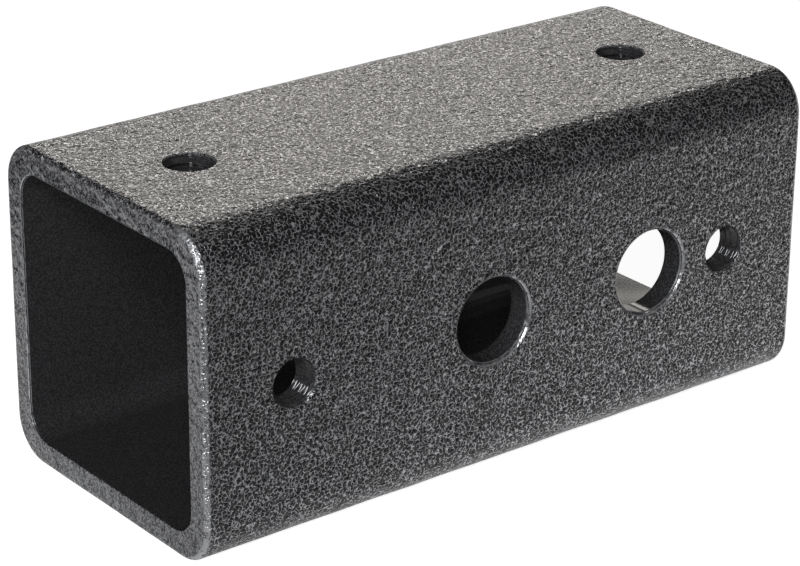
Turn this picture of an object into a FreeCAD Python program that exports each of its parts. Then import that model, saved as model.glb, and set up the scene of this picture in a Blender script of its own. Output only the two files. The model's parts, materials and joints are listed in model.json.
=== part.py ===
import FreeCAD, Part
import math
import os

import Sketcher

# A reducer sleeve for a trailer hitch: one length of square steel tube, cut square at both ends.
# It slides into a 2.5 inch receiver and narrows it to take a 2 inch shank. Two cross bores take the
# hitch pin. Two tapped holes in the top wall and two in one side wall take set screws that stop rattle.
# Frame: origin at the tube's centre, +X along the tube to the end next to the pin bores, +Z up.
# The pin bores run along Y, and the tapped side wall is the one at -Y. Lengths are in millimetres.

SHEET_NAME = "Sizes"
NODE_NAME = "sleeve_tube"

# Driving dimensions, each written once.
SIZES = {
    "tube_width": 62.7,
    "tube_length": 139.7,
    "wall_thickness": 5.0,
    "outer_corner_radius": 8.2,
    "inner_corner_radius": 5.2,
    "end_edge_round": 0.8,
    "mouth_chamfer": 0.45,
    "pin_bore_diameter": 16.4,
    "pin_edge_break": 0.3,
    "rear_pin_from_end": 38.1,
    "pin_spacing": 38.1,
    "tap_drill_diameter": 7.94,
    "countersink_diameter": 9.8,
    "countersink_angle": 90.0,
    "screw_from_end": 19.05,
}

TOLERANCE = 1e-4


def make_sheet(doc):
    """Put the driving dimensions into a spreadsheet, one named cell each."""
    sheet = doc.addObject("Spreadsheet::Sheet", SHEET_NAME)
    for row, (name, value) in enumerate(SIZES.items(), start=1):
        sheet.set(f"A{row}", name)
        sheet.set(f"B{row}", str(value))
        sheet.setAlias(f"B{row}", name)
    doc.recompute()
    return sheet


def size(name):
    """The expression that reads one cell of the sheet."""
    return f"{SHEET_NAME}.{name}"


HALF_WIDTH = f"{size('tube_width')} / 2"
HALF_LENGTH = f"{size('tube_length')} / 2"
HALF_BORE = f"{size('tube_width')} / 2 - {size('wall_thickness')}"
REAR_PIN_X = f"{HALF_LENGTH} - {size('rear_pin_from_end')}"
FRONT_PIN_X = f"{REAR_PIN_X} - {size('pin_spacing')}"
REAR_SCREW_X = f"{HALF_LENGTH} - {size('screw_from_end')}"
FRONT_SCREW_X = f"-({REAR_SCREW_X})"

# The sides of a square section in the order they are drawn, each with the direction it is measured in.
SQUARE_SIDES = (
    ("right", "DistanceX", 1),
    ("top", "DistanceY", 1),
    ("left", "DistanceX", -1),
    ("bottom", "DistanceY", -1),
)


def new_sketch(body, name, plane_role, offset=None):
    """A sketch on one of the body's own origin planes, moved out along the plane's normal by offset."""
    sketch = body.newObject("Sketcher::SketchObject", name)
    plane = next(item for item in body.Origin.OriginFeatures if item.Role == plane_role)
    sketch.AttachmentSupport = [(plane, "")]
    sketch.MapMode = "FlatFace"
    if offset is not None:
        sketch.setExpression("AttachmentOffset.Base.z", offset)
    return sketch


def bind(sketch, name, constraint, expression):
    """Add a named dimension to a sketch and tie it to an expression."""
    index = sketch.addConstraint(constraint)
    sketch.renameConstraint(index, name)
    sketch.setExpression(f"Constraints.{name}", expression)


def value_of(sketch, expression):
    """The number that an expression has now, for a sketch's starting shape."""
    return float(sketch.evalExpression(expression))


def add_rounded_square(sketch, name, half_side, corner_radius):
    """Draw a centred square with four equal round corners, its half side and radius tied to expressions."""
    half = value_of(sketch, half_side)
    radius = value_of(sketch, corner_radius)
    flat = half - radius
    first = sketch.GeometryCount
    vector = FreeCAD.Vector
    for quarter in range(4):
        turn = FreeCAD.Rotation(vector(0, 0, 1), 90 * quarter)
        start = turn.multVec(vector(half, -flat, 0))
        end = turn.multVec(vector(half, flat, 0))
        centre = turn.multVec(vector(flat, flat, 0))
        circle = Part.Circle(centre, vector(0, 0, 1), radius)
        angle = math.radians(90 * quarter)
        sketch.addGeometry(Part.LineSegment(start, end), False)
        sketch.addGeometry(Part.ArcOfCircle(circle, angle, angle + math.pi / 2), False)
    for quarter in range(4):
        line = first + 2 * quarter
        arc = line + 1
        next_line = first + (2 * quarter + 2) % 8
        sketch.addConstraint(Sketcher.Constraint("Tangent", line, 2, arc, 1))
        sketch.addConstraint(Sketcher.Constraint("Tangent", arc, 2, next_line, 1))
        direction = "Horizontal" if quarter % 2 else "Vertical"
        sketch.addConstraint(Sketcher.Constraint(direction, line))
        if quarter:
            sketch.addConstraint(Sketcher.Constraint("Equal", first + 1, arc))
    for quarter, (side, kind, sign) in enumerate(SQUARE_SIDES):
        place = Sketcher.Constraint(kind, -1, 1, first + 2 * quarter, 1, sign * half)
        bind(sketch, f"{name}_{side}", place, f"{sign} * ({half_side})")
    bind(sketch, f"{name}_corner", Sketcher.Constraint("Radius", first + 1, radius), corner_radius)


def add_circle_on_axis(sketch, name, x_place, diameter):
    """Draw a circle centred on the sketch's X axis, its place and diameter tied to expressions."""
    x = value_of(sketch, x_place)
    radius = value_of(sketch, diameter) / 2
    circle = Part.Circle(FreeCAD.Vector(x, 0, 0), FreeCAD.Vector(0, 0, 1), radius)
    index = sketch.addGeometry(circle, False)
    sketch.addConstraint(Sketcher.Constraint("PointOnObject", index, 3, -1))
    bind(sketch, f"{name}_x", Sketcher.Constraint("DistanceX", -1, 1, index, 3, x), x_place)
    bind(sketch, f"{name}_diameter", Sketcher.Constraint("Diameter", index, 2 * radius), diameter)


def require_cut(feature, volume_before):
    """Stop if a feature took nothing away from the solid."""
    if not feature.Shape.Volume < volume_before - TOLERANCE:
        raise RuntimeError(f"{feature.Name} cut nothing")


def pad_tube(doc, body):
    """The plain tube: a rounded square ring, carried along X and centred on the origin."""
    section = new_sketch(body, "TubeSection", "YZ_Plane")
    add_rounded_square(section, "outer", HALF_WIDTH, size("outer_corner_radius"))
    add_rounded_square(section, "inner", HALF_BORE, size("inner_corner_radius"))
    tube = body.newObject("PartDesign::Pad", "Tube")
    tube.Profile = section
    tube.setExpression("Length", size("tube_length"))
    tube.Midplane = True
    doc.recompute()
    return tube


def cut_pin_bores(doc, body, tube):
    """Two cross bores for the hitch pin, through both side walls."""
    sketch = new_sketch(body, "PinBoreCircles", "XZ_Plane")
    add_circle_on_axis(sketch, "rear", REAR_PIN_X, size("pin_bore_diameter"))
    add_circle_on_axis(sketch, "front", FRONT_PIN_X, size("pin_bore_diameter"))
    bores = body.newObject("PartDesign::Pocket", "PinBores")
    bores.Profile = sketch
    bores.Midplane = True
    bores.Type = "ThroughAll"
    doc.recompute()
    require_cut(bores, tube.Shape.Volume)
    return bores


def drill_screw_holes(doc, body, base, name, plane_role):
    """Two countersunk tap-drill holes through one wall, drilled from its outer face to the tube's axis."""
    sketch = new_sketch(body, f"{name}Circles", plane_role, HALF_WIDTH)
    add_circle_on_axis(sketch, "rear", REAR_SCREW_X, size("tap_drill_diameter"))
    add_circle_on_axis(sketch, "front", FRONT_SCREW_X, size("tap_drill_diameter"))
    doc.recompute()
    holes = body.newObject("PartDesign::Hole", name)
    holes.Profile = sketch
    holes.DepthType = "Dimension"
    holes.setExpression("Depth", HALF_WIDTH)
    holes.DrillPoint = "Flat"
    holes.setExpression("Diameter", size("tap_drill_diameter"))
    holes.HoleCutType = "Countersink"
    holes.HoleCutCustomValues = True
    holes.setExpression("HoleCutDiameter", size("countersink_diameter"))
    holes.setExpression("HoleCutCountersinkAngle", size("countersink_angle"))
    doc.recompute()
    require_cut(holes, base.Shape.Volume)
    return holes


def edge_names(shape, chosen):
    """The names of the edges of a shape that a test picks."""
    return [f"Edge{index}" for index, edge in enumerate(shape.Edges, start=1) if chosen(edge)]


def lies_in_end_plane(edge, sheet):
    """True for an edge that lies wholly in one of the tube's two end planes."""
    box = edge.BoundBox
    flat = box.XLength < TOLERANCE
    return flat and abs(abs(box.Center.x) - sheet.tube_length / 2) < TOLERANCE


def is_outside_bore(edge, sheet):
    """True for an edge that lies beyond the tube's inside width."""
    middle = edge.valueAt((edge.FirstParameter + edge.LastParameter) / 2)
    half_bore = sheet.tube_width / 2 - sheet.wall_thickness
    return max(abs(middle.y), abs(middle.z)) > half_bore + TOLERANCE


def is_pin_bore_mouth(edge, sheet):
    """True for the circle where a pin bore meets the outer face of a side wall."""
    box = edge.BoundBox
    flat = box.YLength < TOLERANCE
    on_face = abs(abs(box.Center.y) - sheet.tube_width / 2) < TOLERANCE
    return flat and on_face and abs(box.XLength - sheet.pin_bore_diameter) < 0.01


def dress(doc, body, base, kind, name, chosen, measure, size_name):
    """Add one fillet or chamfer on the chosen edges of a feature, its measure tied to a size."""
    feature = body.newObject(kind, name)
    feature.Base = (base, edge_names(base.Shape, chosen))
    feature.setExpression(measure, size(size_name))
    doc.recompute()
    require_cut(feature, base.Shape.Volume)
    return feature


def dress_edges(doc, body, base, sheet):
    """Round the outer end edges, deburr the inner mouth edges and break the edges of the pin bores."""

    def outer_end_edge(edge):
        return lies_in_end_plane(edge, sheet) and is_outside_bore(edge, sheet)

    def inner_end_edge(edge):
        return lies_in_end_plane(edge, sheet) and not is_outside_bore(edge, sheet)

    def pin_bore_mouth(edge):
        return is_pin_bore_mouth(edge, sheet)

    fillet, chamfer = "PartDesign::Fillet", "PartDesign::Chamfer"
    ends = dress(doc, body, base, fillet, "EndEdgeRounds", outer_end_edge, "Radius", "end_edge_round")
    mouths = dress(doc, body, ends, chamfer, "MouthChamfers", inner_end_edge, "Size", "mouth_chamfer")
    return dress(doc, body, mouths, chamfer, "PinBoreEdgeBreaks", pin_bore_mouth, "Size", "pin_edge_break")


def make_sleeve(doc, sheet):
    """The whole sleeve as one body."""
    body = doc.addObject("PartDesign::Body", "SleeveTube")
    body.Label = NODE_NAME
    body.Placement = FreeCAD.Placement()
    tube = pad_tube(doc, body)
    bores = cut_pin_bores(doc, body, tube)
    top_holes = drill_screw_holes(doc, body, bores, "TopScrewHoles", "XY_Plane")
    side_holes = drill_screw_holes(doc, body, top_holes, "SideScrewHoles", "XZ_Plane")
    body.Tip = dress_edges(doc, body, side_holes, sheet)
    doc.recompute()
    return body


def check_document(doc, body):
    """Stop if any feature failed or the body isn't one valid solid."""
    for item in doc.Objects:
        if "Invalid" in item.State or "Error" in item.State:
            raise RuntimeError(f"{item.Name} failed: {item.State}")
    shape = body.Shape
    if shape.isNull() or not shape.isValid() or len(shape.Solids) != 1:
        raise RuntimeError(f"{body.Label} isn't one valid solid")


def main():
    """Build the sleeve, check it and write its STEP file."""
    doc = FreeCAD.newDocument("HitchReducerSleeve")
    sheet = make_sheet(doc)
    body = make_sleeve(doc, sheet)
    check_document(doc, body)
    os.makedirs("parts", exist_ok=True)
    body.Shape.exportStep(f"parts/{body.Label}.step")
    print(body.Label, "volume", round(body.Shape.Volume, 1), "mm3, box", body.Shape.BoundBox)


main()
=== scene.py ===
import json
import logging
import math
from dataclasses import dataclass, field
from enum import Enum
from typing import Any, Sequence

import bpy
import numpy as np
from mathutils import Matrix, Vector


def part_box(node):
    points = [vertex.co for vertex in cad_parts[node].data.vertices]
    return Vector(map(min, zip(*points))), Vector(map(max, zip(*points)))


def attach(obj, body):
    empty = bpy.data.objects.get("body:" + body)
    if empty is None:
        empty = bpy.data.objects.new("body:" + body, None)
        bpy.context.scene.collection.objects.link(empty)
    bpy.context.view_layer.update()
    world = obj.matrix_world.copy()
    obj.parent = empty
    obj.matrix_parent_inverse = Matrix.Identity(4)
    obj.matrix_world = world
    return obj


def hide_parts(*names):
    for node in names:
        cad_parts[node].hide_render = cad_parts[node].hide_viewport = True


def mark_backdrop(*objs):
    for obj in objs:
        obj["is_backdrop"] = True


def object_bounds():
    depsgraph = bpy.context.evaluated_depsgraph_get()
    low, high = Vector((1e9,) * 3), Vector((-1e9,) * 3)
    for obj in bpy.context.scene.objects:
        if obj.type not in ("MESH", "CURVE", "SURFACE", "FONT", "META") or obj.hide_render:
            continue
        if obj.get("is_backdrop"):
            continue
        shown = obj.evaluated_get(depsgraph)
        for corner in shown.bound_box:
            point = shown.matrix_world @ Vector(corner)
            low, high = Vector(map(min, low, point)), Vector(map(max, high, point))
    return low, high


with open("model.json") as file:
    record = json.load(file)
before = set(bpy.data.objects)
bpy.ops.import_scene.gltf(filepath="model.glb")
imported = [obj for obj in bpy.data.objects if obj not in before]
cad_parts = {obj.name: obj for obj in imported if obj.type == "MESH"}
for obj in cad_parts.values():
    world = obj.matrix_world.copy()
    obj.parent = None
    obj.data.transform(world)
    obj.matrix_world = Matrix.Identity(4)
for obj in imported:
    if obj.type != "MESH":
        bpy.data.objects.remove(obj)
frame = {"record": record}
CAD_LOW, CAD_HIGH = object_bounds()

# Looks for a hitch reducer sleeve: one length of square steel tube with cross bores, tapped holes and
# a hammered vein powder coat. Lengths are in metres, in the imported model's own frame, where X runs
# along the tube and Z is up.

MM = 0.001
NODE = "sleeve_tube"
BODY = "root"
FILM = "coat_film"
# The edges' silver: bright bare flake painted on the rounds as a highlight, where glints show.
GLINT_FLAKE = "coat_silver"

log = logging.getLogger("hitch_reducer_sleeve")

Array = np.ndarray
Colour = tuple[float, float, float]
Limits = tuple[float, float]

WHITE: Colour = (1.0, 1.0, 1.0)


class Wall(Enum):
    """The four walls of the tube, each with its number of quarter turns about +X from the top wall."""

    TOP = 0
    SIDE = 1
    BOTTOM = 2
    BACK = 3

    def turn(self) -> Array:
        """The rotation from the top wall's frame (along X, across Y, out Z) to this wall's frame.

        Returns:
            A 3 by 3 matrix made of the cosine and sine of the wall's quarter turns.
        """
        cosine = (1, 0, -1, 0)[self.value]
        sine = (0, 1, 0, -1)[self.value]
        return np.array([[1, 0, 0], [0, cosine, -sine], [0, sine, cosine]], float)

    @staticmethod
    def facing(axis: Sequence[float]) -> "Wall":
        """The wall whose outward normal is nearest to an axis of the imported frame."""
        return max(Wall, key=lambda wall: float(wall.turn()[:, 2] @ np.array(axis, float)))


@dataclass(frozen=True)
class TubeSizes:
    """The plain tube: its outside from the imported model's box, its section as driving sizes."""

    half_length: float
    half_width: float
    wall: float = 5.0 * MM
    outer_corner: float = 8.2 * MM
    inner_corner: float = 5.2 * MM
    end_round: float = 1.1 * MM
    mouth_round: float = 0.45 * MM

    @property
    def half_bore(self) -> float:
        """Half of the tube's inside width."""
        return self.half_width - self.wall

    @property
    def outer_flat(self) -> float:
        """Half of the flat stretch across an outer wall."""
        return self.half_width - self.outer_corner

    @property
    def inner_flat(self) -> float:
        """Half of the flat stretch across an inner wall."""
        return self.half_bore - self.inner_corner


@dataclass(frozen=True)
class CoatUnevenness:
    """The slight waviness of rolled steel under its coat, always inwards of the true outside.

    The loss at a place is half the depth times one plus the mean of some plane sine waves, so it lies
    between nothing and the depth. A point moves towards the tube's axis by the loss, as a share of its
    distance from the axis over the half width.
    """

    half_width: float
    depth: float = 0.12 * MM
    shortest: float = 9.0 * MM
    longest: float = 30.0 * MM
    waves: int = 6
    seed: int = 5

    def _phase(self, points: Array) -> tuple[Array, Array]:
        """How far along each wave every point lies, as an angle.

        A wave's vector is a random heading times a full turn over its length. The phase is the dot
        product of the point and the vector, plus a random start.

        Args:
            points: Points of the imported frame.

        Returns:
            The phases, shaped (points, waves), and the waves' vectors.
        """
        draw = np.random.default_rng(self.seed)
        length = np.exp(draw.uniform(math.log(self.shortest), math.log(self.longest), self.waves))
        headings = draw.normal(size=(self.waves, 3))
        headings /= np.linalg.norm(headings, axis=1, keepdims=True)
        vectors = headings * (2.0 * math.pi / length)[:, None]
        return points @ vectors.T + draw.uniform(0.0, 2.0 * math.pi, self.waves), vectors

    def move(self, points: Array) -> Array:
        """Move points towards the tube's axis by the loss there.

        Args:
            points: Points of the true surface.

        Returns:
            The moved points.
        """
        phase, _ = self._phase(points)
        loss = self.depth / 2.0 * (1.0 + np.sin(phase).mean(axis=1))
        moved = points.copy()
        moved[:, 1:] *= (1.0 - loss / self.half_width)[:, None]
        return moved

    def tilt(self, points: Array, normals: Array) -> Array:
        """Turn normals by the loss's gradient, as far as the surface moves along its own normal.

        Args:
            points: Points of the true surface.
            normals: Its unit normals there.

        Returns:
            The turned normals, of any length.
        """
        phase, vectors = self._phase(points)
        gradient = self.depth / 2.0 * (np.cos(phase) @ vectors) / self.waves
        share = (points[:, 1:] * normals[:, 1:]).sum(axis=1, keepdims=True) / self.half_width
        return normals + gradient * share


@dataclass(frozen=True)
class Patch:
    """One rectangular sheet of points, with its true normals, its coat's film and its silver, a painted
    highlight.
    """

    points: Array
    normals: Array
    film: Array
    silver: Array
    flipped: bool


class Skin:
    """A closed mesh gathered from patches, whose shared edges are welded by their coordinates."""

    WELD = 1e-8

    def __init__(self) -> None:
        """Start with no patches."""
        self.patches: list[Patch] = []

    def add(
        self,
        points: Array,
        normals: Array,
        film: Array | float,
        silver: Array | float = 0.0,
        flipped: bool = False,
    ) -> None:
        """Take one patch.

        Args:
            points: A grid of points, shaped (rows, columns, 3).
            normals: Outward directions on the same grid, of any length.
            film: How full the coat's film is: 0 inside, 0.5 on the cut ends, 1 outside.
            silver: The share of bright bare flake painted on edges as a highlight, from 0 to 1.
            flipped: True if rows cross columns points into the metal.
        """
        unit = normals / np.linalg.norm(normals, axis=-1, keepdims=True)
        shape = points.shape[:2]
        full, glint_share = (np.broadcast_to(np.asarray(value, float), shape) for value in (film, silver))
        self.patches.append(Patch(points, unit, full, glint_share, flipped))

    def _cells(self) -> Array:
        """List the cells of every patch, with the points of all patches numbered in order.

        Returns:
            The four point numbers of every cell, turned to face outwards.
        """
        cells, offset = [], 0
        for patch in self.patches:
            rows, columns = patch.points.shape[:2]
            index = np.arange(rows * columns).reshape(rows, columns) + offset
            ring = (index[:-1, :-1], index[1:, :-1], index[1:, 1:], index[:-1, 1:])
            quads = np.stack([corner.ravel() for corner in ring], axis=-1)
            cells.append(quads[:, ::-1] if patch.flipped else quads)
            offset += rows * columns
        return np.concatenate(cells)

    def build(self, name: str, unevenness: CoatUnevenness) -> bpy.types.Object:
        """Weld the patches into one mesh object at the origin.

        Points on the same spot become one vertex, and a cell with two corners on one spot becomes a
        triangle. Every corner of every cell keeps its patch's true normal.

        Args:
            name: The object's name.
            unevenness: Moves the points and tilts the normals.

        Returns:
            The new object, linked to the scene.
        """
        points = np.concatenate([patch.points.reshape(-1, 3) for patch in self.patches])
        normals = np.concatenate([patch.normals.reshape(-1, 3) for patch in self.patches])
        film = np.concatenate([patch.film.ravel() for patch in self.patches])
        silver = np.concatenate([patch.silver.ravel() for patch in self.patches])
        keys = np.round(points / self.WELD).astype(np.int64)
        _, first, shared = np.unique(keys, axis=0, return_index=True, return_inverse=True)
        cells = self._cells()
        faces = shared.ravel()[cells]
        kept = faces != np.roll(faces, 1, axis=1)
        sides = kept.sum(axis=1)
        whole = sides >= 3
        kept = kept[whole]
        mesh = fill_mesh(name, unevenness.move(points[first]), faces[whole][kept], sides[whole])
        add_point_values(mesh, FILM, film[first])
        add_point_values(mesh, GLINT_FLAKE, silver[first])
        tilted = unevenness.tilt(points, normals)
        mesh.normals_split_custom_set(tilted[cells[whole][kept]].astype(np.float32))
        thing = bpy.data.objects.new(name, mesh)
        bpy.context.scene.collection.objects.link(thing)
        return thing


def fill_mesh(name: str, points: Array, corners: Array, sides: Array) -> bpy.types.Mesh:
    """A smooth-shaded mesh from whole arrays.

    Args:
        name: The mesh's name.
        points: Its vertices.
        corners: The vertex number of every corner, face after face.
        sides: The number of corners of each face.

    Returns:
        The new mesh.
    """
    mesh = bpy.data.meshes.new(name)
    mesh.vertices.add(len(points))
    mesh.loops.add(len(corners))
    mesh.polygons.add(len(sides))
    mesh.vertices.foreach_set("co", points.astype(np.float32).ravel())
    mesh.loops.foreach_set("vertex_index", corners.astype(np.int32))
    mesh.polygons.foreach_set("loop_start", (np.cumsum(sides) - sides).astype(np.int32))
    mesh.polygons.foreach_set("use_smooth", np.ones(len(sides), bool))
    mesh.update(calc_edges=True)
    return mesh


def add_point_values(mesh: bpy.types.Mesh, name: str, values: Array) -> None:
    """Store one number for each vertex under a name that a material can read."""
    attribute = mesh.attributes.new(name, "FLOAT", "POINT")
    attribute.data.foreach_set("value", values.astype(np.float32))


def spin(ring: Array, radius: Array, height: Array) -> Array:
    """Points at a radius along each ring direction and at a height.

    Args:
        ring: Directions (along, across), all the way round.
        radius: One radius for each row, or one for each row and direction.
        height: The heights, in the same form.

    Returns:
        The points, shaped (rows, directions, 3).
    """
    wide = np.broadcast_to(radius, (radius.shape[0], len(ring)))
    tall = np.broadcast_to(height, (radius.shape[0], len(ring)))
    return np.stack([wide * ring[:, 0], wide * ring[:, 1], tall], axis=-1)


def soft_max(first: Array, second: Array | float, blend: float) -> Array:
    """The larger of two values, with its corner rounded.

    It is half of three terms added up: their sum, the root of their squared difference plus the squared
    blend, and minus the blend.

    Args:
        first: One value at each place.
        second: The other.
        blend: How far apart the two are where the rounding fades.

    Returns:
        The rounded value at each place.
    """
    return 0.5 * (first + second + np.sqrt((first - second) ** 2 + blend**2) - blend)


@dataclass(frozen=True)
class Plot:
    """The rectangle of wall round one hole, meshed as a fan from the hole out to its four sides."""

    half_along: float
    half_across: float
    cells_along: int
    cells_across: int
    rings: int = 6

    def rim(self) -> tuple[Array, Array]:
        """Matching points on the rectangle and directions on the hole, all the way round.

        The rectangle's sides are walked in equal steps. The quarter of the hole that faces a side is
        cut into as many equal angles, so a corner of the rectangle meets the hole at 45 degrees.

        Returns:
            The rectangle's points (along, across) from its centre and the hole's directions, both
            closed rings whose first entry is repeated at the end.
        """
        half = np.array([self.half_along, self.half_across])
        points, angles = [], []
        for quarter in range(4):
            count = self.cells_along if quarter % 2 else self.cells_across
            share = np.arange(count)[:, None] / count
            angle = math.radians(90.0 * quarter)
            out = np.round([math.cos(angle), math.sin(angle)])
            onward = np.array([-out[1], out[0]])
            points.append((out + (2.0 * share - 1.0) * onward) * half)
            angles.append(angle + math.pi / 2.0 * (share[:, 0] - 0.5))
        turn = np.concatenate(angles + [angles[0][:1]])
        directions = np.stack([np.cos(turn), np.sin(turn)], axis=-1)
        return np.concatenate(points + [points[0][:1]]), directions

    def fan(self, hole_radius: float) -> Array:
        """Flat points from the hole's edge to the rectangle, in even steps.

        Args:
            hole_radius: The hole's radius in this face.

        Returns:
            Points (along, across) from the hole's centre, a row for each step.
        """
        rectangle, directions = self.rim()
        share = np.linspace(0.0, 1.0, self.rings + 1)[:, None, None]
        return (1.0 - share) * directions * hole_radius + share * rectangle


@dataclass(frozen=True)
class Lining:
    """One hole's own surface in its wall's frame: points, normals, film and silver over its rows."""

    points: Array
    normals: Array
    film: Array
    silver: Array


@dataclass(frozen=True)
class Hole:
    """A round hole through one wall, centred across it."""

    wall: Wall
    centre: float
    radius: float
    plot: Plot

    @property
    def rim_radius(self) -> float:
        """The hole's radius in the outer face."""
        return self.radius

    @property
    def inner_radius(self) -> float:
        """The hole's radius in the inner face."""
        return self.radius

    def lining(self, sizes: TubeSizes, ring: Array) -> Lining:
        """The hole's own surface, from the outer face to the inner face, about its axis.

        Args:
            sizes: The tube's sizes.
            ring: The directions round the hole.

        Returns:
            The surface, with points and normals shaped (rows, directions, 3) and the rest (rows, 1).
        """
        raise NotImplementedError


@dataclass(frozen=True)
class PinBore(Hole):
    """A plain bore for the hitch pin, whose outer edge is broken by a small round."""

    edge: float = 0.8 * MM
    edge_steps: int = 6
    # The rim's silver: bright bare flake painted on as a highlight.
    edge_glint_flake: float = 1.0
    bore_steps: int = 6
    bore_film: float = 0.1

    @property
    def rim_radius(self) -> float:
        """The bore's radius plus the round."""
        return self.radius + self.edge

    def lining(self, sizes: TubeSizes, ring: Array) -> Lining:
        """A quarter round from the outer face into a straight bore.

        Over the quarter's turn the radius is the rim's less the edge times the sine, and the depth is
        the edge times one minus the cosine. The film thins with the turn, and the silver, bright bare
        flake painted on as a highlight, is the sine of twice the turn.

        Args:
            sizes: The tube's sizes.
            ring: The directions round the hole.

        Returns:
            The surface, as Hole.lining says.
        """
        turn = np.linspace(0.0, math.pi / 2.0, self.edge_steps + 1)
        depth = np.linspace(self.edge, sizes.wall, self.bore_steps + 1)[1:]
        straight = np.zeros(len(depth))
        radius = np.append(self.rim_radius - self.edge * np.sin(turn), self.radius + straight)
        height = sizes.half_width - np.append(self.edge * (1.0 - np.cos(turn)), depth)
        inward = np.append(np.sin(turn), straight + 1.0)[:, None]
        upward = np.append(np.cos(turn), straight)[:, None]
        film = np.append(1.0 - (1.0 - self.bore_film) * np.sin(turn), straight + self.bore_film)
        # Painted highlight: bright bare flake across the middle of the rim's round.
        silver = np.append(self.edge_glint_flake * np.sin(2.0 * turn), straight)
        points, normals = spin(ring, radius[:, None], height[:, None]), spin(-ring, inward, upward)
        return Lining(points, normals, film[:, None], silver[:, None])


@dataclass(frozen=True)
class TappedHole(Hole):
    """A countersunk hole with a cut thread, whose relief is a radius over angle and depth."""

    countersink: float = 4.9 * MM
    cone_slope: float = 1.0
    major_radius: float = 4.7625 * MM
    pitch: float = 1.5875 * MM
    root_share: float = 0.125
    flank_angle: float = 30.0
    crease: float = 0.34 * MM
    start_turn: float = 0.35
    rows: int = 88
    nudge: float = 0.02 * MM
    film_depth: float = 0.35 * MM
    thread_film: float = 0.04

    @property
    def rim_radius(self) -> float:
        """The countersink's radius in the outer face."""
        return self.countersink

    @property
    def inner_radius(self) -> float:
        """The countersink's radius, which clears the thread, and past which the inner wall is whole."""
        return self.countersink

    def radius_at(self, angle: Array, depth: Array) -> Array:
        """The threaded surface's radius.

        A right-hand groove's middle lies where the depth over the pitch, the angle over a full turn and
        the starting turn add up to a whole number. From its root flat the radius falls along the flank and
        stops at the drilled hole's. The countersink's cone cuts it back at the outer face. Each corner
        between two of these is rounded over the crease.

        Args:
            angle: The angle round the hole, counted from outside against the clock.
            depth: The depth under the outer face.

        Returns:
            The radius at each place.
        """
        turns = depth / self.pitch + angle / (2.0 * math.pi) + self.start_turn
        from_root = np.abs(turns - np.round(turns)) * self.pitch
        past_flat = soft_max(from_root - self.root_share * self.pitch / 2.0, 0.0, self.crease)
        groove = self.major_radius - past_flat / math.tan(math.radians(self.flank_angle))
        thread = soft_max(groove, self.radius, self.crease)
        return soft_max(thread, self.countersink - self.cone_slope * depth, self.crease)

    def lining(self, sizes: TubeSizes, ring: Array) -> Lining:
        """The countersink and thread as one height field over angle and depth.

        The normal points to the axis, less the radius's slope over depth along the axis, and plus its
        slope over angle, divided by the radius, round the hole. Down the film's depth the film thins
        to the thread's.

        Args:
            sizes: The tube's sizes.
            ring: The directions round the hole.

        Returns:
            The surface, as Hole.lining says.
        """
        angle = np.unwrap(np.arctan2(ring[:, 1], ring[:, 0]))[None, :]
        depth = np.linspace(0.0, sizes.wall, self.rows + 1)[:, None]
        radius = self.radius_at(angle, depth)
        radius[0] = self.rim_radius
        deeper = self.radius_at(angle, depth + self.nudge) - self.radius_at(angle, depth - self.nudge)
        twist = self.nudge / self.radius
        onward = self.radius_at(angle + twist, depth) - self.radius_at(angle - twist, depth)
        by_depth = deeper / (2.0 * self.nudge)
        by_turn = onward / (2.0 * twist) / radius
        points = spin(ring, radius, sizes.half_width - depth)
        around = np.stack([-ring[:, 1], ring[:, 0]], axis=-1)
        flat = by_turn[..., None] * around - ring
        normals = np.concatenate([flat, -by_depth[..., None]], axis=-1)
        film = 1.0 - (1.0 - self.thread_film) * np.clip(depth / self.film_depth, 0.0, 1.0)
        return Lining(points, normals, film, np.zeros_like(film))


@dataclass(frozen=True)
class EndStrip:
    """One strip round an end of the tube, over its steps inwards and the places round the outline.

    The section holds its points' (y, z), and sideways and forward are its normals' parts across the
    tube and along it. The points lie behind the end by the edge times one minus forward.
    """

    section: Array
    sideways: Array
    forward: Array | float
    edge: float
    film: Array
    silver: Array


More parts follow.
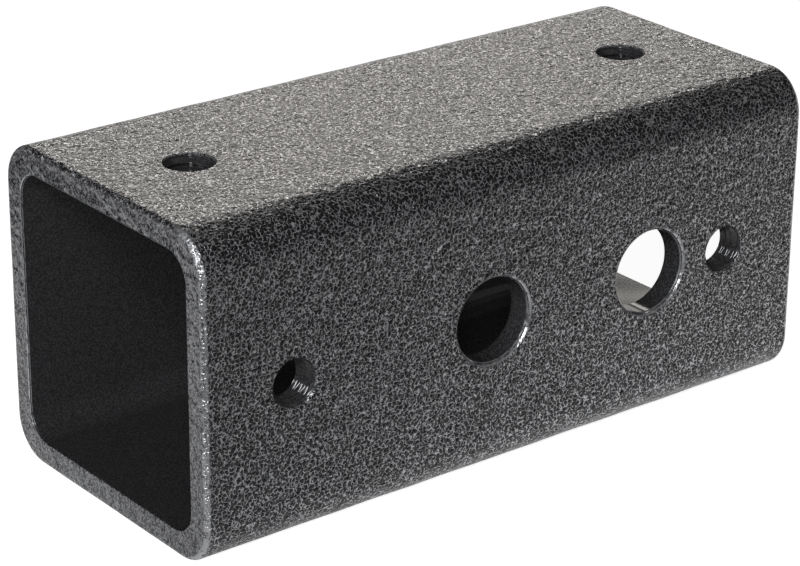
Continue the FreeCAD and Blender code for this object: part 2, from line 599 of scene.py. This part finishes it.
@dataclass
class Sleeve:
    """The whole sleeve: a rounded square tube with its holes, as one closed skin.

    The coat's film is edge_film full where the outer rounds meet the cut faces, and falls to face_film
    over the faces.
    """

    sizes: TubeSizes
    holes: list[Hole]
    cell: float = 1.3 * MM
    margin_cells: int = 10
    corner_cells: int = 12
    edge_steps: int = 6
    face_steps: int = 5
    edge_film: float = 0.75
    face_film: float = 0.5
    film_fall: int = 4
    # The end rounds' silver: bright bare flake painted on as a highlight, strongest on the upright edges.
    edge_glint_flake: float = 1.0
    upright_glint_gain: float = 1.5
    mouth_glint_flake: float = 1.0
    skin: Skin = field(default_factory=Skin)

    @property
    def slack(self) -> float:
        """How far apart two places along the tube may lie and still count as one."""
        return self.cell / 4.0

    def build(self, name: str) -> bpy.types.Object:
        """Mesh every surface and weld them into one object.

        Args:
            name: The object's name.

        Returns:
            The new object.
        """
        for wall in Wall:
            self._add_wall(wall, outside=True)
            self._add_wall(wall, outside=False)
            self._add_corner(wall, outside=True)
            self._add_corner(wall, outside=False)
        for hole in self.holes:
            self._add_lining(hole)
        for end in (-1, 1):
            self._add_end(end)
        return self.skin.build(name, CoatUnevenness(self.sizes.half_width))

    def _half_run(self, outside: bool) -> float:
        """Half the length of the straight faces, up to the rounds at the ends."""
        edge = self.sizes.end_round if outside else self.sizes.mouth_round
        return self.sizes.half_length - edge

    def _breaks(self) -> list[tuple[float, float, int]]:
        """Find the stretches along the tube that holes take up, one for all holes in line.

        Returns:
            Each stretch's start, end and number of cells, in order.
        """
        spans = {}
        for hole in self.holes:
            reach = hole.plot.half_along
            span = (hole.centre - reach, hole.centre + reach, hole.plot.cells_along)
            spans[round(hole.centre / MM)] = span
        return [spans[key] for key in sorted(spans)]

    def _stretches(self, outside: bool) -> list[Array]:
        """Grid lines along the tube, as one run of x places for each stretch between breaks.

        Args:
            outside: True for the outer faces, False for the inner ones.

        Returns:
            The stretches in order, each starting where the last one ends.
        """
        half = self._half_run(outside)
        stretches, reached = [], -half
        for start, end, cells in self._breaks() + [(half, half, 0)]:
            if start - reached > self.slack:
                count = max(2, round((start - reached) / self.cell) + 1)
                stretches.append(np.linspace(reached, start, count))
                reached = start
            if cells:
                stretches.append(np.linspace(reached, end, cells + 1))
                reached = end
        return stretches

    def _across(self, flat: float) -> list[Array]:
        """Grid lines across a wall.

        Args:
            flat: Half of the flat stretch across the wall.

        Returns:
            The places in the margin before the holes' plots, in the plots and in the margin after.
        """
        plot = self.holes[0].plot
        edge = plot.half_across
        before = np.linspace(-flat, -edge, self.margin_cells + 1)
        middle = np.linspace(-edge, edge, plot.cells_across + 1)
        return [before, middle, -before[::-1]]

    def _add_flat(self, wall: Wall, along: Array, across: Array, outside: bool) -> None:
        """Add one flat rectangle of a wall.

        Args:
            wall: The wall.
            along: Its x places.
            across: Its places across the wall.
            outside: True for the outer face.
        """
        grid = np.stack(np.meshgrid(along, across, indexing="ij"), axis=-1)
        self._add_face(wall, grid, outside)

    def _add_face(self, wall: Wall, grid: Array, outside: bool) -> None:
        """Add a grid of flat points of a wall to the skin.

        Args:
            wall: The wall.
            grid: The points (along, across).
            outside: True for the outer face.
        """
        height = self.sizes.half_width if outside else self.sizes.half_bore
        points = np.concatenate([grid, np.full(grid.shape[:2] + (1,), height)], axis=-1)
        normals = np.zeros_like(points)
        normals[..., 2] = 1.0 if outside else -1.0
        turn = wall.turn().T
        self.skin.add(points @ turn, normals @ turn, 1.0 if outside else 0.0, flipped=not outside)

    def _add_wall(self, wall: Wall, outside: bool) -> None:
        """Add a wall's outer or inner face, with a fan round each of its holes.

        Args:
            wall: The wall.
            outside: True for the outer face.
        """
        flat = self.sizes.outer_flat if outside else self.sizes.inner_flat
        holes = [hole for hole in self.holes if hole.wall is wall]
        before, middle, after = self._across(flat)
        for along in self._stretches(outside):
            centre = (along[0] + along[-1]) / 2.0
            self._add_flat(wall, along, before, outside)
            self._add_flat(wall, along, after, outside)
            here = [hole for hole in holes if abs(hole.centre - centre) < self.slack]
            if not here:
                self._add_flat(wall, along, middle, outside)
                continue
            hole = here[0]
            fan = hole.plot.fan(hole.rim_radius if outside else hole.inner_radius)
            self._add_face(wall, fan + np.array([hole.centre, 0.0]), outside)

    def _add_corner(self, wall: Wall, outside: bool) -> None:
        """Add the rounded corner past a wall's far side, as a quarter circle carried along the tube.

        Args:
            wall: The wall that the corner starts from.
            outside: True for the outer corner.
        """
        flat = self.sizes.outer_flat if outside else self.sizes.inner_flat
        radius = self.sizes.outer_corner if outside else self.sizes.inner_corner
        angle = np.linspace(0.0, math.pi / 2.0, self.corner_cells + 1)[None, :]
        along = np.unique(np.concatenate(self._stretches(outside)))[:, None]
        out = np.stack(np.broadcast_arrays(0.0 * along, np.sin(angle), np.cos(angle)), axis=-1)
        centre = np.stack(np.broadcast_arrays(along, flat, flat), axis=-1)
        turn = wall.turn().T
        normals = out if outside else -out
        film = 1.0 if outside else 0.0
        self.skin.add((centre + radius * out) @ turn, normals @ turn, film, flipped=not outside)

    def _outline(self, outside: bool) -> tuple[Array, Array]:
        """The section's outline all the way round, and its outward directions.

        Args:
            outside: True for the outer outline.

        Returns:
            Points (y, z) and unit directions, closed rings with the first repeated at the end.
        """
        flat = self.sizes.outer_flat if outside else self.sizes.inner_flat
        half = self.sizes.half_width if outside else self.sizes.half_bore
        radius = self.sizes.outer_corner if outside else self.sizes.inner_corner
        across = np.unique(np.concatenate(self._across(flat)))
        angle = np.linspace(0.0, math.pi / 2.0, self.corner_cells + 1)[1:]
        arc = np.stack([np.sin(angle), np.cos(angle)], axis=-1)
        side = np.stack([across, np.full_like(across, half)], axis=-1)
        points = np.concatenate([side, flat + radius * arc])
        out = np.concatenate([np.tile([0.0, 1.0], (len(across), 1)), arc])
        rings, headings = [], []
        for wall in (Wall.TOP, Wall.BACK, Wall.BOTTOM, Wall.SIDE):
            turn = wall.turn()[1:, 1:].T
            rings.append(points[:-1] @ turn)
            headings.append(out[:-1] @ turn)
        rings.append(rings[0][:1])
        headings.append(headings[0][:1])
        return np.concatenate(rings), np.concatenate(headings)

    def _add_end(self, end: int) -> None:
        """Add one end: the round at the outer edge, the cut face and the round at the mouth.

        The two outlines match point for point, so the face runs straight from one to the other, and
        each round is a quarter circle between its outline and the face. The film thins over the outer
        round and the first steps of the face, and runs out round the mouth. On both rounds the silver,
        bright bare flake painted on as a highlight, is the sine of twice the turn. This painted highlight
        stays off the outer edge's top and bottom, and fades out along the bottom of the mouth.

        Args:
            end: -1 or 1, the sign of the end's x.
        """
        sizes = self.sizes
        outer, heading = self._outline(outside=True)
        inner, _ = self._outline(outside=False)
        turn = np.linspace(0.0, math.pi / 2.0, self.edge_steps + 1)[:, None, None]
        cosine, sine, ridge = np.cos(turn), np.sin(turn), np.sin(2.0 * turn)
        steps = np.linspace(0.0, 1.0, self.face_steps + 1)[:, None, None]
        # Painted highlight: the silver is kept to the upright outer edges and off the bottom of the mouth.
        upright_glint = np.clip(self.upright_glint_gain * np.abs(heading[:, :1]), 0.0, 1.0)
        raised_glint = np.clip(1.0 + heading[:, 1:], 0.0, 1.0)
        start = outer - sizes.end_round * heading
        stop = inner + sizes.mouth_round * heading
        face = start + (stop - start) * steps
        outer_round = EndStrip(
            section=start + sizes.end_round * cosine * heading,
            sideways=cosine * heading,
            forward=sine,
            edge=sizes.end_round,
            film=self.edge_film + (1.0 - self.edge_film) * cosine,
            silver=self.edge_glint_flake * ridge * upright_glint,
        )
        cut_face = EndStrip(
            section=face,
            sideways=np.zeros_like(face),
            forward=1.0,
            edge=0.0,
            film=self.face_film + (self.edge_film - self.face_film) * (1.0 - steps) ** self.film_fall,
            silver=np.zeros_like(steps),
        )
        mouth = EndStrip(
            section=stop - sizes.mouth_round * sine * heading,
            sideways=-sine * heading,
            forward=cosine,
            edge=sizes.mouth_round,
            film=self.face_film * cosine,
            silver=self.mouth_glint_flake * ridge * raised_glint,
        )
        for strip in (outer_round, cut_face, mouth):
            self._add_strip(end, strip)

    def _add_strip(self, end: int, strip: EndStrip) -> None:
        """Add one strip of an end to the skin.

        Args:
            end: -1 or 1, the sign of the end's x.
            strip: The strip.
        """
        shape = strip.section.shape[:2] + (1,)
        behind = strip.edge * (1.0 - strip.forward)
        x = np.broadcast_to(end * (self.sizes.half_length - behind), shape)
        ahead = np.broadcast_to(end * strip.forward, shape)
        points = np.concatenate([x, strip.section], axis=-1)
        normals = np.concatenate([ahead, strip.sideways], axis=-1)
        self.skin.add(points, normals, strip.film[..., 0], strip.silver[..., 0], flipped=end < 0)

    def _add_lining(self, hole: Hole) -> None:
        """Add the surface of one hole, and close the inner face round a thread.

        Args:
            hole: The hole.
        """
        _, ring = hole.plot.rim()
        lining = hole.lining(self.sizes, ring)
        if hole.inner_radius > hole.radius:
            self._close_thread(hole, ring, lining.points[-1])
        points = lining.points + np.array([hole.centre, 0.0, 0.0])
        turn = hole.wall.turn().T
        self.skin.add(points @ turn, lining.normals @ turn, lining.film, lining.silver, flipped=True)

    def _close_thread(self, hole: Hole, ring: Array, last: Array) -> None:
        """Add the inner face's own ring from a thread's end out to the whole wall.

        Args:
            hole: The tapped hole.
            ring: The directions round the hole.
            last: The lining's last row of points, in the wall's frame.
        """
        whole = spin(ring, np.full((1, 1), hole.inner_radius), np.full((1, 1), self.sizes.half_bore))[0]
        edge = np.stack([last, whole]) + np.array([hole.centre, 0.0, 0.0])
        down = np.zeros_like(edge)
        down[..., 2] = -1.0
        turn = hole.wall.turn().T
        self.skin.add(edge @ turn, down @ turn, 0.0, flipped=True)


PIN_PLOT = Plot(half_along=10.7 * MM, half_across=10.7 * MM, cells_along=20, cells_across=20)
SCREW_PLOT = Plot(half_along=8.35 * MM, half_across=10.7 * MM, cells_along=16, cells_across=20)


def read_holes(mounts: Sequence[dict[str, Any]]) -> list[Hole]:
    """The sleeve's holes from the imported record's mounts.

    A pin bore goes through both side walls, so it gives two holes.

    Args:
        mounts: The record's mounts.

    Returns:
        Every hole in every wall.
    """
    holes: list[Hole] = []
    for mount in mounts:
        centre, axis = mount["pos_m"][0], np.array(mount["axis"], float)
        if mount["kind"] == "bore":
            radius = mount["dims"]["r_mm"] * MM
            holes.append(PinBore(Wall.facing(axis), centre, radius, PIN_PLOT))
            holes.append(PinBore(Wall.facing(-axis), centre, radius, PIN_PLOT))
        if mount["kind"] == "threaded_hole":
            radius = mount["dims"]["r_mm"] * MM
            holes.append(TappedHole(Wall.facing(axis), centre, radius, SCREW_PLOT))
    return holes


class NodeBoard:
    """The shader nodes of one material or world, added and linked one call at a time."""

    def __init__(self, tree: bpy.types.NodeTree) -> None:
        """Start with an empty tree."""
        tree.nodes.clear()
        self.tree = tree

    def add(self, kind: str, values: dict[str | int, Any] | None = None, **settings: Any) -> bpy.types.Node:
        """Add a node.

        Args:
            kind: The node's type, without its ShaderNode prefix.
            values: For an input by name or number, a constant or another node's output.
            settings: The node's own settings.

        Returns:
            The new node.
        """
        node = self.tree.nodes.new(f"ShaderNode{kind}")
        for name, value in settings.items():
            setattr(node, name, value)
        for name, value in (values or {}).items():
            if isinstance(value, bpy.types.NodeSocket):
                self.tree.links.new(value, node.inputs[name])
            else:
                node.inputs[name].default_value = value
        return node

    def math(self, operation: str, first: Any, second: Any) -> bpy.types.NodeSocket:
        """The result of a sum on two numbers."""
        return self.add("Math", {0: first, 1: second}, operation=operation).outputs[0]

    def vector(self, operation: str, first: Any, second: Any) -> bpy.types.NodeSocket:
        """The result of a sum on two vectors."""
        return self.add("VectorMath", {0: first, 1: second}, operation=operation).outputs[0]

    def dot(self, first: Any, second: Any) -> bpy.types.NodeSocket:
        """The dot product of two vectors."""
        return self.add("VectorMath", {0: first, 1: second}, operation="DOT_PRODUCT").outputs["Value"]

    def scale(self, value: Any, by: float) -> bpy.types.NodeSocket:
        """A vector times a constant."""
        return self.add("VectorMath", {0: value, "Scale": by}, operation="SCALE").outputs[0]

    def span(
        self, value: Any, low: float, high: float, at_low: float = 0.0, at_high: float = 1.0
    ) -> bpy.types.NodeSocket:
        """A value eased from one level to another as the input passes from low to high."""
        values = {"Value": value, "From Min": low, "From Max": high, "To Min": at_low, "To Max": at_high}
        return self.add("MapRange", values, interpolation_type="SMOOTHSTEP").outputs["Result"]

    def noise(self, place: Any, scale: float) -> bpy.types.Node:
        """A soft noise with one finer layer, whose first output is a number and second a colour."""
        return self.add("TexNoise", {"Vector": place, "Scale": scale, "Detail": 1.0})

    def mix(self, share: Any, first: Any, second: Any) -> bpy.types.NodeSocket:
        """Two colours mixed by a share from 0 to 1."""
        return self.add("Mix", {0: share, 6: first, 7: second}, data_type="RGBA").outputs[2]

    def blend(self, share: Any, first: Any, second: Any) -> bpy.types.NodeSocket:
        """Two numbers mixed by a share from 0 to 1."""
        return self.add("Mix", {0: share, 2: first, 3: second}, data_type="FLOAT").outputs[0]


def opaque(colour: Colour) -> tuple[float, float, float, float]:
    """A colour with full cover."""
    return (*colour, 1.0)


@dataclass(frozen=True)
class HammeredCoat:
    """Vein powder coat: black domes parted by thin sunken veins of metal flake, under a clear gloss.

    Outside, the veins are the borders of a warped cell pattern, in millimetres of the object's own
    space. A noise makes them fainter in places, so that some cells run together. On the cut ends they
    break up into a fine even grain, which fades to near black inside. On the edges' silver, bright bare
    flake painted on as a highlight, only flake is shown.

    A field of two limits gives the film or the noise at which an effect starts and is full. The vein's
    core is the share of its half width that is full, and a dome reaches its full height at a share of
    the cell's size from the border.
    """

    cell_colour: Colour = (0.012, 0.012, 0.0125)
    vein_colour: Colour = (0.74, 0.742, 0.757)
    outside_film: Limits = (0.55, 0.95)
    end_film: Limits = (0.0, 0.5)
    lumpy_film: Limits = (0.1, 0.4)
    cell_mm: float = 0.78
    cell_randomness: float = 0.95
    warp_mm: float = 0.72
    warps_per_mm: float = 1.4
    vein_mm: float = 0.085
    vein_core: float = 0.2
    patches_per_mm: float = 1.5
    patch_noise: Limits = (0.4, 0.56)
    faintest_vein: float = 0.04
    relief_mm: float = 0.1
    dome_reach: float = 0.4
    lump_mm: float = 0.55
    # The lumps' height where the edges' painted highlight of bare flake shows.
    glint_lump_mm: float = 0.18
    lumps_per_mm: float = 0.55
    grain_per_mm: float = 2.9
    grain_noise: Limits = (0.35, 0.7)
    end_vein: float = 0.38
    inside_vein: float = 0.022
    inside_grain: float = 0.12
    # The edges' silver, a painted highlight of bare flake, broken up by a noise, with its roughness.
    glint_breaks_per_mm: float = 0.8
    glint_break_noise: Limits = (0.35, 0.5)
    least_glint: float = 0.2
    glint_roughness: float = 0.25
    flake_limit: float = 0.5
    gloss_roughness: float = 0.12
    flake_roughness: float = 0.42
    base_roughness: float = 0.6

    def build(self) -> bpy.types.Material:
        """Make the material.

        Returns:
            A material that reads object coordinates and the coat's two attributes.
        """
        material = bpy.data.materials.new("hammered_vein_coat")
        material.use_nodes = True
        board = NodeBoard(material.node_tree)
        place = board.scale(board.add("TexCoord").outputs["Object"], 1.0 / MM)
        film = board.add("Attribute", attribute_name=FILM).outputs["Fac"]
        silver = board.add("Attribute", attribute_name=GLINT_FLAKE).outputs["Fac"]
        outside = board.span(film, *self.outside_film)
        border = self._border(board, place)
        veins = board.blend(outside, self._grain(board, place, film), self._veins(board, place, border))
        # Painted highlight: the edges' bare flake, broken up by a noise, shows as bright metal.
        patchy = board.noise(place, self.glint_breaks_per_mm).outputs[0]
        broken = board.span(patchy, *self.glint_break_noise, self.least_glint, 1.0)
        glint_share = board.math("MULTIPLY", silver, broken)
        shown = board.math("MAXIMUM", veins, glint_share)
        matt = board.span(shown, 0.0, self.flake_limit, self.base_roughness, self.flake_roughness)
        normal = self._relief(board, border, outside, self._lumps(board, place, film, silver))
        shader = board.add(
            "BsdfPrincipled",
            {
                "Base Color": board.mix(shown, opaque(self.cell_colour), opaque(self.vein_colour)),
                "Metallic": shown,
                "Roughness": board.blend(glint_share, matt, self.glint_roughness),
                "Specular IOR Level": 0.0,
                "Coat Weight": 1.0,
                "Coat Roughness": self.gloss_roughness,
                "Normal": normal,
                "Coat Normal": normal,
            },
        )
        board.add("OutputMaterial", {"Surface": shader.outputs[0]})
        return material

    def _border(self, board: NodeBoard, place: Any) -> bpy.types.NodeSocket:
        """The distance in millimetres from the nearest border of warped cells.

        Each place is first pushed by a colour noise less one half, times the warp.

        Args:
            board: The material's nodes.
            place: Plain places in millimetres.

        Returns:
            The distance.
        """
        colours = board.noise(place, self.warps_per_mm).outputs["Color"]
        push = board.scale(board.vector("SUBTRACT", colours, (0.5, 0.5, 0.5)), self.warp_mm)
        values = {
            "Vector": board.vector("ADD", place, push),
            "Scale": 1.0 / self.cell_mm,
            "Randomness": self.cell_randomness,
        }
        cells = board.add("TexVoronoi", values, feature="DISTANCE_TO_EDGE")
        return board.math("MULTIPLY", cells.outputs["Distance"], self.cell_mm)

    def _veins(self, board: NodeBoard, place: Any, border: Any) -> bpy.types.NodeSocket:
        """How much vein shows outside, from 0 to 1.

        Args:
            board: The material's nodes.
            place: Plain places in millimetres.
            border: The distance from the cells' borders.

        Returns:
            The veins' share, full at the borders and none in the cells.
        """
        patchy = board.noise(place, self.patches_per_mm).outputs[0]
        strength = board.span(patchy, *self.patch_noise, self.faintest_vein, 1.0)
        line = board.span(border, self.vein_core * self.vein_mm, self.vein_mm, 1.0, 0.0)
        return board.math("MULTIPLY", line, strength)

    def _grain(self, board: NodeBoard, place: Any, film: Any) -> bpy.types.NodeSocket:
        """How much flake shows where there are no veins, from 0 to 1.

        Args:
            board: The material's nodes.
            place: Plain places in millimetres.
            film: How full the coat's film is.

        Returns:
            A fine even grain on the cut ends, and a much fainter one inside.
        """
        noise = board.noise(place, self.grain_per_mm).outputs[0]
        grain = board.span(noise, *self.grain_noise, 0.0, self.end_vein)
        faint = board.math("ADD", board.math("MULTIPLY", grain, self.inside_grain), self.inside_vein)
        return board.blend(board.span(film, *self.end_film), faint, grain)

    def _lumps(self, board: NodeBoard, place: Any, film: Any, silver: Any) -> bpy.types.NodeSocket:
        """The height of the coat's lumps, which die away inside and are calmer on the edges' painted
        highlight of bare flake.

        Args:
            board: The material's nodes.
            place: Plain places in millimetres.
            film: How full the coat's film is.
            silver: The share of the edges' silver, bright bare flake painted on as a highlight.

        Returns:
            The height in millimetres.
        """
        full = board.math("MULTIPLY", board.span(film, *self.lumpy_film), self.lump_mm)
        change = board.math("MULTIPLY", silver, self.glint_lump_mm - self.lump_mm)
        depth = board.math("ADD", full, change)
        return board.math("MULTIPLY", board.noise(place, self.lumps_per_mm).outputs[0], depth)

    def _relief(self, board: NodeBoard, border: Any, outside: Any, lumps: Any) -> bpy.types.NodeSocket:
        """The normal of domes that rise from the veins outside, on the lumpy skin.

        Args:
            board: The material's nodes.
            border: The distance from the cells' borders.
            outside: How far the outside's pattern holds.
            lumps: The lumps' height.

        Returns:
            The bent normal.
        """
        rise = board.span(border, 0.0, self.dome_reach * self.cell_mm, 0.0, self.relief_mm)
        height = board.math("ADD", board.math("MULTIPLY", rise, outside), lumps)
        return board.add("Bump", {"Strength": 1.0, "Distance": MM, "Height": height}).outputs[0]


def direction(azimuth: float, elevation: float) -> Vector:
    """The unit vector from the object to a viewer.

    Args:
        azimuth: Degrees about Z, with 0 at -Y and 90 at +X.
        elevation: Degrees up from the ground.

    Returns:
        The vector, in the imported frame.
    """
    a, e = math.radians(azimuth), math.radians(elevation)
    return Vector((math.sin(a) * math.cos(e), -math.cos(a) * math.cos(e), math.sin(e)))


@dataclass(frozen=True)
class StudioFloor:
    """A plain white floor that keeps the object's shadow.

    Mirrors see only a sheet of it, which ends a little way in front of the object and to its left, and
    fades with the distance ahead plus the lean times the distance to the right.
    """

    height: float
    reach: float = 6.0
    colour: Colour = (0.86, 0.86, 0.86)
    unseen_colour: Colour = (0.02, 0.02, 0.02)
    seen_white: float = 0.84
    mirrored_white: float = 0.36
    sheet_azimuth: float = -38.0
    sheet_front: float = 120.0 * MM
    sheet_left: float = 175.0 * MM
    sheet_blur: float = 7.0 * MM
    fade_start: float = 15.0 * MM
    fade_end: float = 95.0 * MM
    fade_lean: float = 0.3
    fade_left: float = 0.27

    def build(self) -> bpy.types.Object:
        """Make the floor and mark it as stage.

        Returns:
            The floor object.
        """
        corners = np.array([[-1, -1, 0], [1, -1, 0], [1, 1, 0], [-1, 1, 0]], float) * self.reach
        corners[:, 2] = self.height
        mesh = fill_mesh("studio_floor", corners, np.arange(4), np.array([4]))
        mesh.materials.append(self._material())
        floor = bpy.data.objects.new("studio_floor", mesh)
        bpy.context.scene.collection.objects.link(floor)
        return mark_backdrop(floor) or floor

    def _on_sheet(self, board: NodeBoard) -> bpy.types.NodeSocket:
        """How bright mirrors see the sheet: less away from the tube, and 0 past its two edges.

        Args:
            board: The floor material's nodes.

        Returns:
            A number from 0 to 1.
        """
        place = board.add("TexCoord").outputs["Object"]
        ahead = board.dot(place, direction(self.sheet_azimuth, 0.0))
        aside = board.dot(place, direction(self.sheet_azimuth + 90.0, 0.0))
        blur = self.sheet_blur
        near = board.span(ahead, self.sheet_front - blur, self.sheet_front + blur, 1.0, 0.0)
        inner = board.span(aside, -self.sheet_left - blur, -self.sheet_left + blur)
        away = board.math("ADD", ahead, board.math("MULTIPLY", aside, self.fade_lean))
        faded = board.span(away, self.fade_start, self.fade_end, 1.0, self.fade_left)
        return board.math("MULTIPLY", board.math("MULTIPLY", near, inner), faded)

    def _material(self) -> bpy.types.Material:
        """White paper lit by the lamps, with plain white added for the camera and for clear things.

        Mirrors see a dimmer white on the sheet, and near black paper past it.

        Returns:
            The floor's material.
        """
        material = bpy.data.materials.new("white_paper")
        material.use_nodes = True
        board = NodeBoard(material.node_tree)
        rays = board.add("LightPath").outputs
        sheet = self._on_sheet(board)
        seen = board.math("MAXIMUM", rays["Is Camera Ray"], rays["Is Transmission Ray"])
        mirrored = board.math("MULTIPLY", rays["Is Glossy Ray"], sheet)
        seen_white = board.math("MULTIPLY", seen, self.seen_white)
        mirrored_white = board.math("MULTIPLY", mirrored, self.mirrored_white)
        strength = board.math("MAXIMUM", seen_white, mirrored_white)
        hidden = board.math("SUBTRACT", rays["Is Glossy Ray"], mirrored)
        colour = board.mix(hidden, opaque(self.colour), opaque(self.unseen_colour))
        paper = board.add("BsdfDiffuse", {"Color": colour}).outputs[0]
        white = board.add("Emission", {"Color": opaque(WHITE), "Strength": strength}).outputs[0]
        both = board.add("AddShader", {0: paper, 1: white})
        board.add("OutputMaterial", {"Surface": both.outputs[0]})
        material.cycles.emission_sampling = "NONE"
        return material


@dataclass(frozen=True)
class StudioRoom:
    """The room round the floor: dim for the object, and white for the camera and clear things."""

    dim: Colour = (0.02, 0.02, 0.024)

    def build(self) -> None:
        """Make the world's material."""
        world = bpy.data.worlds.new("studio_room")
        world.use_nodes = True
        board = NodeBoard(world.node_tree)
        rays = board.add("LightPath").outputs
        seen = board.math("MAXIMUM", rays["Is Camera Ray"], rays["Is Transmission Ray"])
        colour = board.mix(seen, opaque(self.dim), opaque(WHITE))
        background = board.add("Background", {"Color": colour, "Strength": 1.0})
        board.add("OutputWorld", {"Surface": background.outputs[0]})
        bpy.context.scene.world = world


@dataclass(frozen=True)
class SoftBox:
    """A rectangular lamp that faces the object, with its angles in degrees and lengths in metres."""

    name: str
    azimuth: float
    elevation: float
    distance: float
    width: float
    height: float
    radiance: float
    colour: Colour

    def build(self) -> bpy.types.Object:
        """Make the lamp, with the power that gives its face its radiance.

        Returns:
            The lamp object.
        """
        light = bpy.data.lights.new(self.name, "AREA")
        light.shape = "RECTANGLE"
        light.size, light.size_y = self.width, self.height
        light.energy = self.radiance * math.pi * self.width * self.height
        light.color = self.colour
        lamp = bpy.data.objects.new(self.name, light)
        out = direction(self.azimuth, self.elevation)
        lamp.location = out * self.distance
        lamp.rotation_euler = out.to_track_quat("Z", "Y").to_euler()
        lamp.visible_camera = False
        bpy.context.scene.collection.objects.link(lamp)
        return lamp


@dataclass(frozen=True)
class PhotoCamera:
    """The camera at the photograph's viewing angle, found by fitting the tube's edges and holes."""

    aim: Vector = Vector((-3.26 * MM, 0.37 * MM, -4.04 * MM))
    azimuth: float = -38.104
    elevation: float = 22.911
    roll: float = 0.4209
    distance: float = 552.52 * MM
    focal_mm: float = 130.989
    sensor_mm: float = 36.0
    clip_start: float = 10.0 * MM

    def build(self) -> bpy.types.Object:
        """Make the camera and give it to the scene.

        Returns:
            The camera object.
        """
        data = bpy.data.cameras.new("photo_camera")
        data.sensor_width = self.sensor_mm
        data.lens = self.focal_mm
        data.clip_start = self.clip_start
        camera = bpy.data.objects.new("photo_camera", data)
        back = direction(self.azimuth, self.elevation)
        right = Vector((0.0, 0.0, 1.0)).cross(back).normalized()
        right.rotate(Matrix.Rotation(math.radians(self.roll), 3, back))
        up = back.cross(right)
        turn = Matrix((right, up, back)).transposed().to_4x4()
        camera.matrix_world = Matrix.Translation(self.aim + back * self.distance) @ turn
        bpy.context.scene.collection.objects.link(camera)
        bpy.context.scene.camera = camera
        return camera


WARM: Colour = (1.0, 0.965, 0.915)
COOL: Colour = (0.96, 0.975, 1.0)
COOL_STRIP: Colour = (0.97, 0.975, 1.0)
WARM_FILL: Colour = (1.0, 0.95, 0.88)

# Each lamp has its name, azimuth, elevation, distance, width, height, radiance and colour.
LAMPS = (
    SoftBox("back_panel", 148.0, 28.0, 1.5, 0.9, 0.30, 3.4, WARM),
    SoftBox("back_low", 142.0, 8.0, 1.5, 0.9, 0.40, 1.0, WARM),
    SoftBox("camera_strip", -40.0, 26.0, 1.0, 0.15, 0.55, 18.0, COOL_STRIP),
    SoftBox("left_key", -80.0, 20.0, 1.3, 0.5, 0.7, 2.7, COOL),
    SoftBox("left_back", -125.0, 12.0, 1.0, 0.8, 0.35, 1.0, COOL),
    SoftBox("right_fill", 60.0, 55.0, 1.2, 0.7, 0.7, 0.2, WARM_FILL),
)


def main() -> None:
    """Build the sleeve, dress it, and set up the studio round it."""
    logging.basicConfig(level=logging.INFO, format="%(name)s: %(message)s")
    _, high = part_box(NODE)
    sleeve = Sleeve(TubeSizes(high.x, high.z), read_holes(frame["record"]["mounts"]))
    piece = sleeve.build("coated_sleeve")
    piece.data.materials.append(HammeredCoat().build())
    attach(piece, BODY)
    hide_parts(NODE)
    log.info("%s: %d faces, %d holes", piece.name, len(piece.data.polygons), len(sleeve.holes))
    StudioFloor(CAD_LOW.z).build()
    StudioRoom().build()
    for lamp in LAMPS:
        lamp.build()
    PhotoCamera().build()
    bpy.context.scene.view_settings.view_transform = "Standard"


if __name__ == "__main__":
    main()
